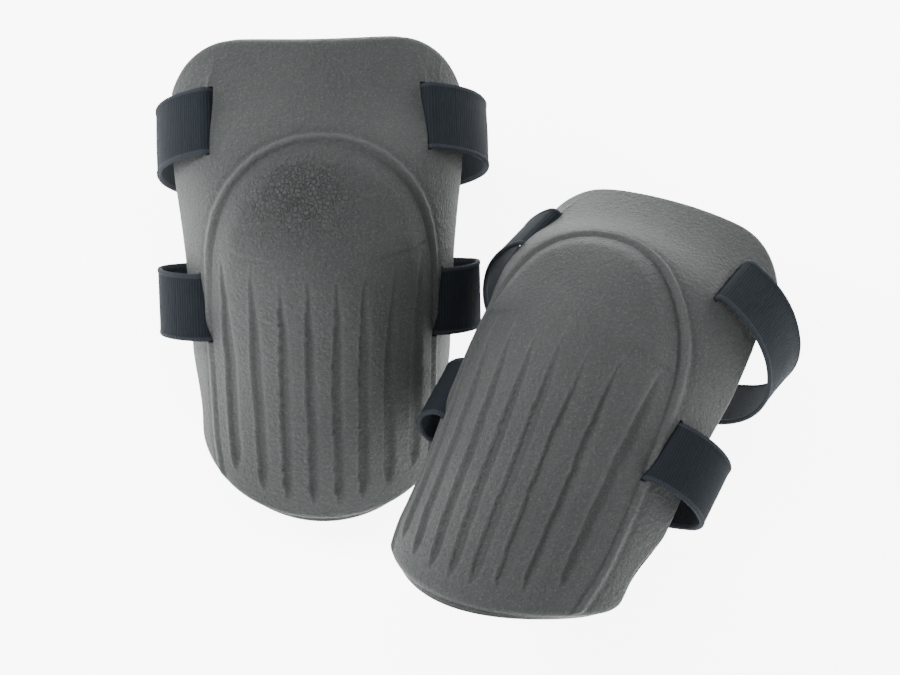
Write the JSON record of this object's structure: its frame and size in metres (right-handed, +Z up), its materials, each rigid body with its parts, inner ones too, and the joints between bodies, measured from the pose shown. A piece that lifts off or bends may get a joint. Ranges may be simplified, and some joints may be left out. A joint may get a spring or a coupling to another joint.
{
  "type": "knee pads",
  "caption": "Pair of moulded foam knee pads with a domed, fluted front and wrap-round wings, each held by two wide elastic straps that close with hook and loop.",
  "frame": {"origin": "on the floor under the middle of the pair as they lie, domes up", "axes": "+X across the pair from the left pad to the right pad, +Y from the shin ends towards the thigh ends of the left pad, +Z up"},
  "size_m": [0.3584, 0.3346, 0.1555],
  "materials": {
    "bar_plastic": "moulded black plastic",
    "elastic": "wide knitted elastic with ribbed face and thick selvedges",
    "foam": "matte moulded closed-cell foam, fine leathery skin",
    "hook_tape": "stiff hook tape",
    "loop_tape": "brushed loop tape",
    "thread": "polyester thread"
  },
  "bodies": {
    "left_upper_hook_half": {"left_upper_hook_strap": "elastic", "left_upper_hook_patch": "hook_tape", "left_upper_hook_patch_stitches": "thread"},
    "left_lower_hook_half": {"left_lower_hook_strap": "elastic", "left_lower_hook_patch": "hook_tape", "left_lower_hook_patch_stitches": "thread"},
    "left_pad": {"left_foam_shell": "foam", "left_upper_inner_strap_anchor": "elastic", "left_upper_inner_retaining_bar": "bar_plastic", "left_upper_loop_strap": "elastic", "left_upper_loop_patch": "loop_tape", "left_upper_loop_patch_stitches": "thread", "left_upper_outer_strap_anchor": "elastic", "left_upper_outer_retaining_bar": "bar_plastic", "left_lower_inner_strap_anchor": "elastic", "left_lower_inner_retaining_bar": "bar_plastic", "left_lower_loop_strap": "elastic", "left_lower_loop_patch": "loop_tape", "left_lower_loop_patch_stitches": "thread", "left_lower_outer_strap_anchor": "elastic", "left_lower_outer_retaining_bar": "bar_plastic", "left_anchor_stitches": "thread"},
    "right_upper_hook_half": {"right_upper_hook_strap": "elastic", "right_upper_hook_patch": "hook_tape", "right_upper_hook_patch_stitches": "thread"},
    "right_lower_hook_half": {"right_lower_hook_strap": "elastic", "right_lower_hook_patch": "hook_tape", "right_lower_hook_patch_stitches": "thread"},
    "right_pad": {"right_foam_shell": "foam", "right_upper_inner_strap_anchor": "elastic", "right_upper_inner_retaining_bar": "bar_plastic", "right_upper_loop_strap": "elastic", "right_upper_loop_patch": "loop_tape", "right_upper_loop_patch_stitches": "thread", "right_upper_outer_strap_anchor": "elastic", "right_upper_outer_retaining_bar": "bar_plastic", "right_lower_inner_strap_anchor": "elastic", "right_lower_inner_retaining_bar": "bar_plastic", "right_lower_loop_strap": "elastic", "right_lower_loop_patch": "loop_tape", "right_lower_loop_patch_stitches": "thread", "right_lower_outer_strap_anchor": "elastic", "right_lower_outer_retaining_bar": "bar_plastic", "right_anchor_stitches": "thread"}
  },
  "joints": [
    {"name": "left_upper_hook_swing", "type": "hinge", "parent": "left_pad", "child": "left_upper_hook_half", "pos_m": [-0.14734, 0.11612, 0.12526], "axis": [-0.0388, 0.9992, 0.0003], "range_deg": [0, 75]},
    {"name": "left_lower_hook_swing", "type": "hinge", "parent": "left_pad", "child": "left_lower_hook_half", "pos_m": [-0.15171, 0.02189, 0.07605], "axis": [-0.0168, 0.9271, 0.3744], "range_deg": [0, 75]},
    {"name": "right_upper_hook_swing", "type": "hinge", "parent": "right_pad", "child": "right_upper_hook_half", "pos_m": [0.1396, 0.02791, 0.12197], "axis": [-0.5193, -0.6655, 0.5362], "range_deg": [0, 75]},
    {"name": "right_lower_hook_swing", "type": "hinge", "parent": "right_pad", "child": "right_lower_hook_half", "pos_m": [0.0995, -0.06938, 0.13771], "axis": [-0.4509, -0.8654, 0.2184], "range_deg": [0, 75]},
    {"name": "right_pad_lift_away", "type": "slide", "parent": "left_pad", "child": "right_pad", "axis": [1, 0, 0], "range_m": [0, 0.15]}
  ]
}
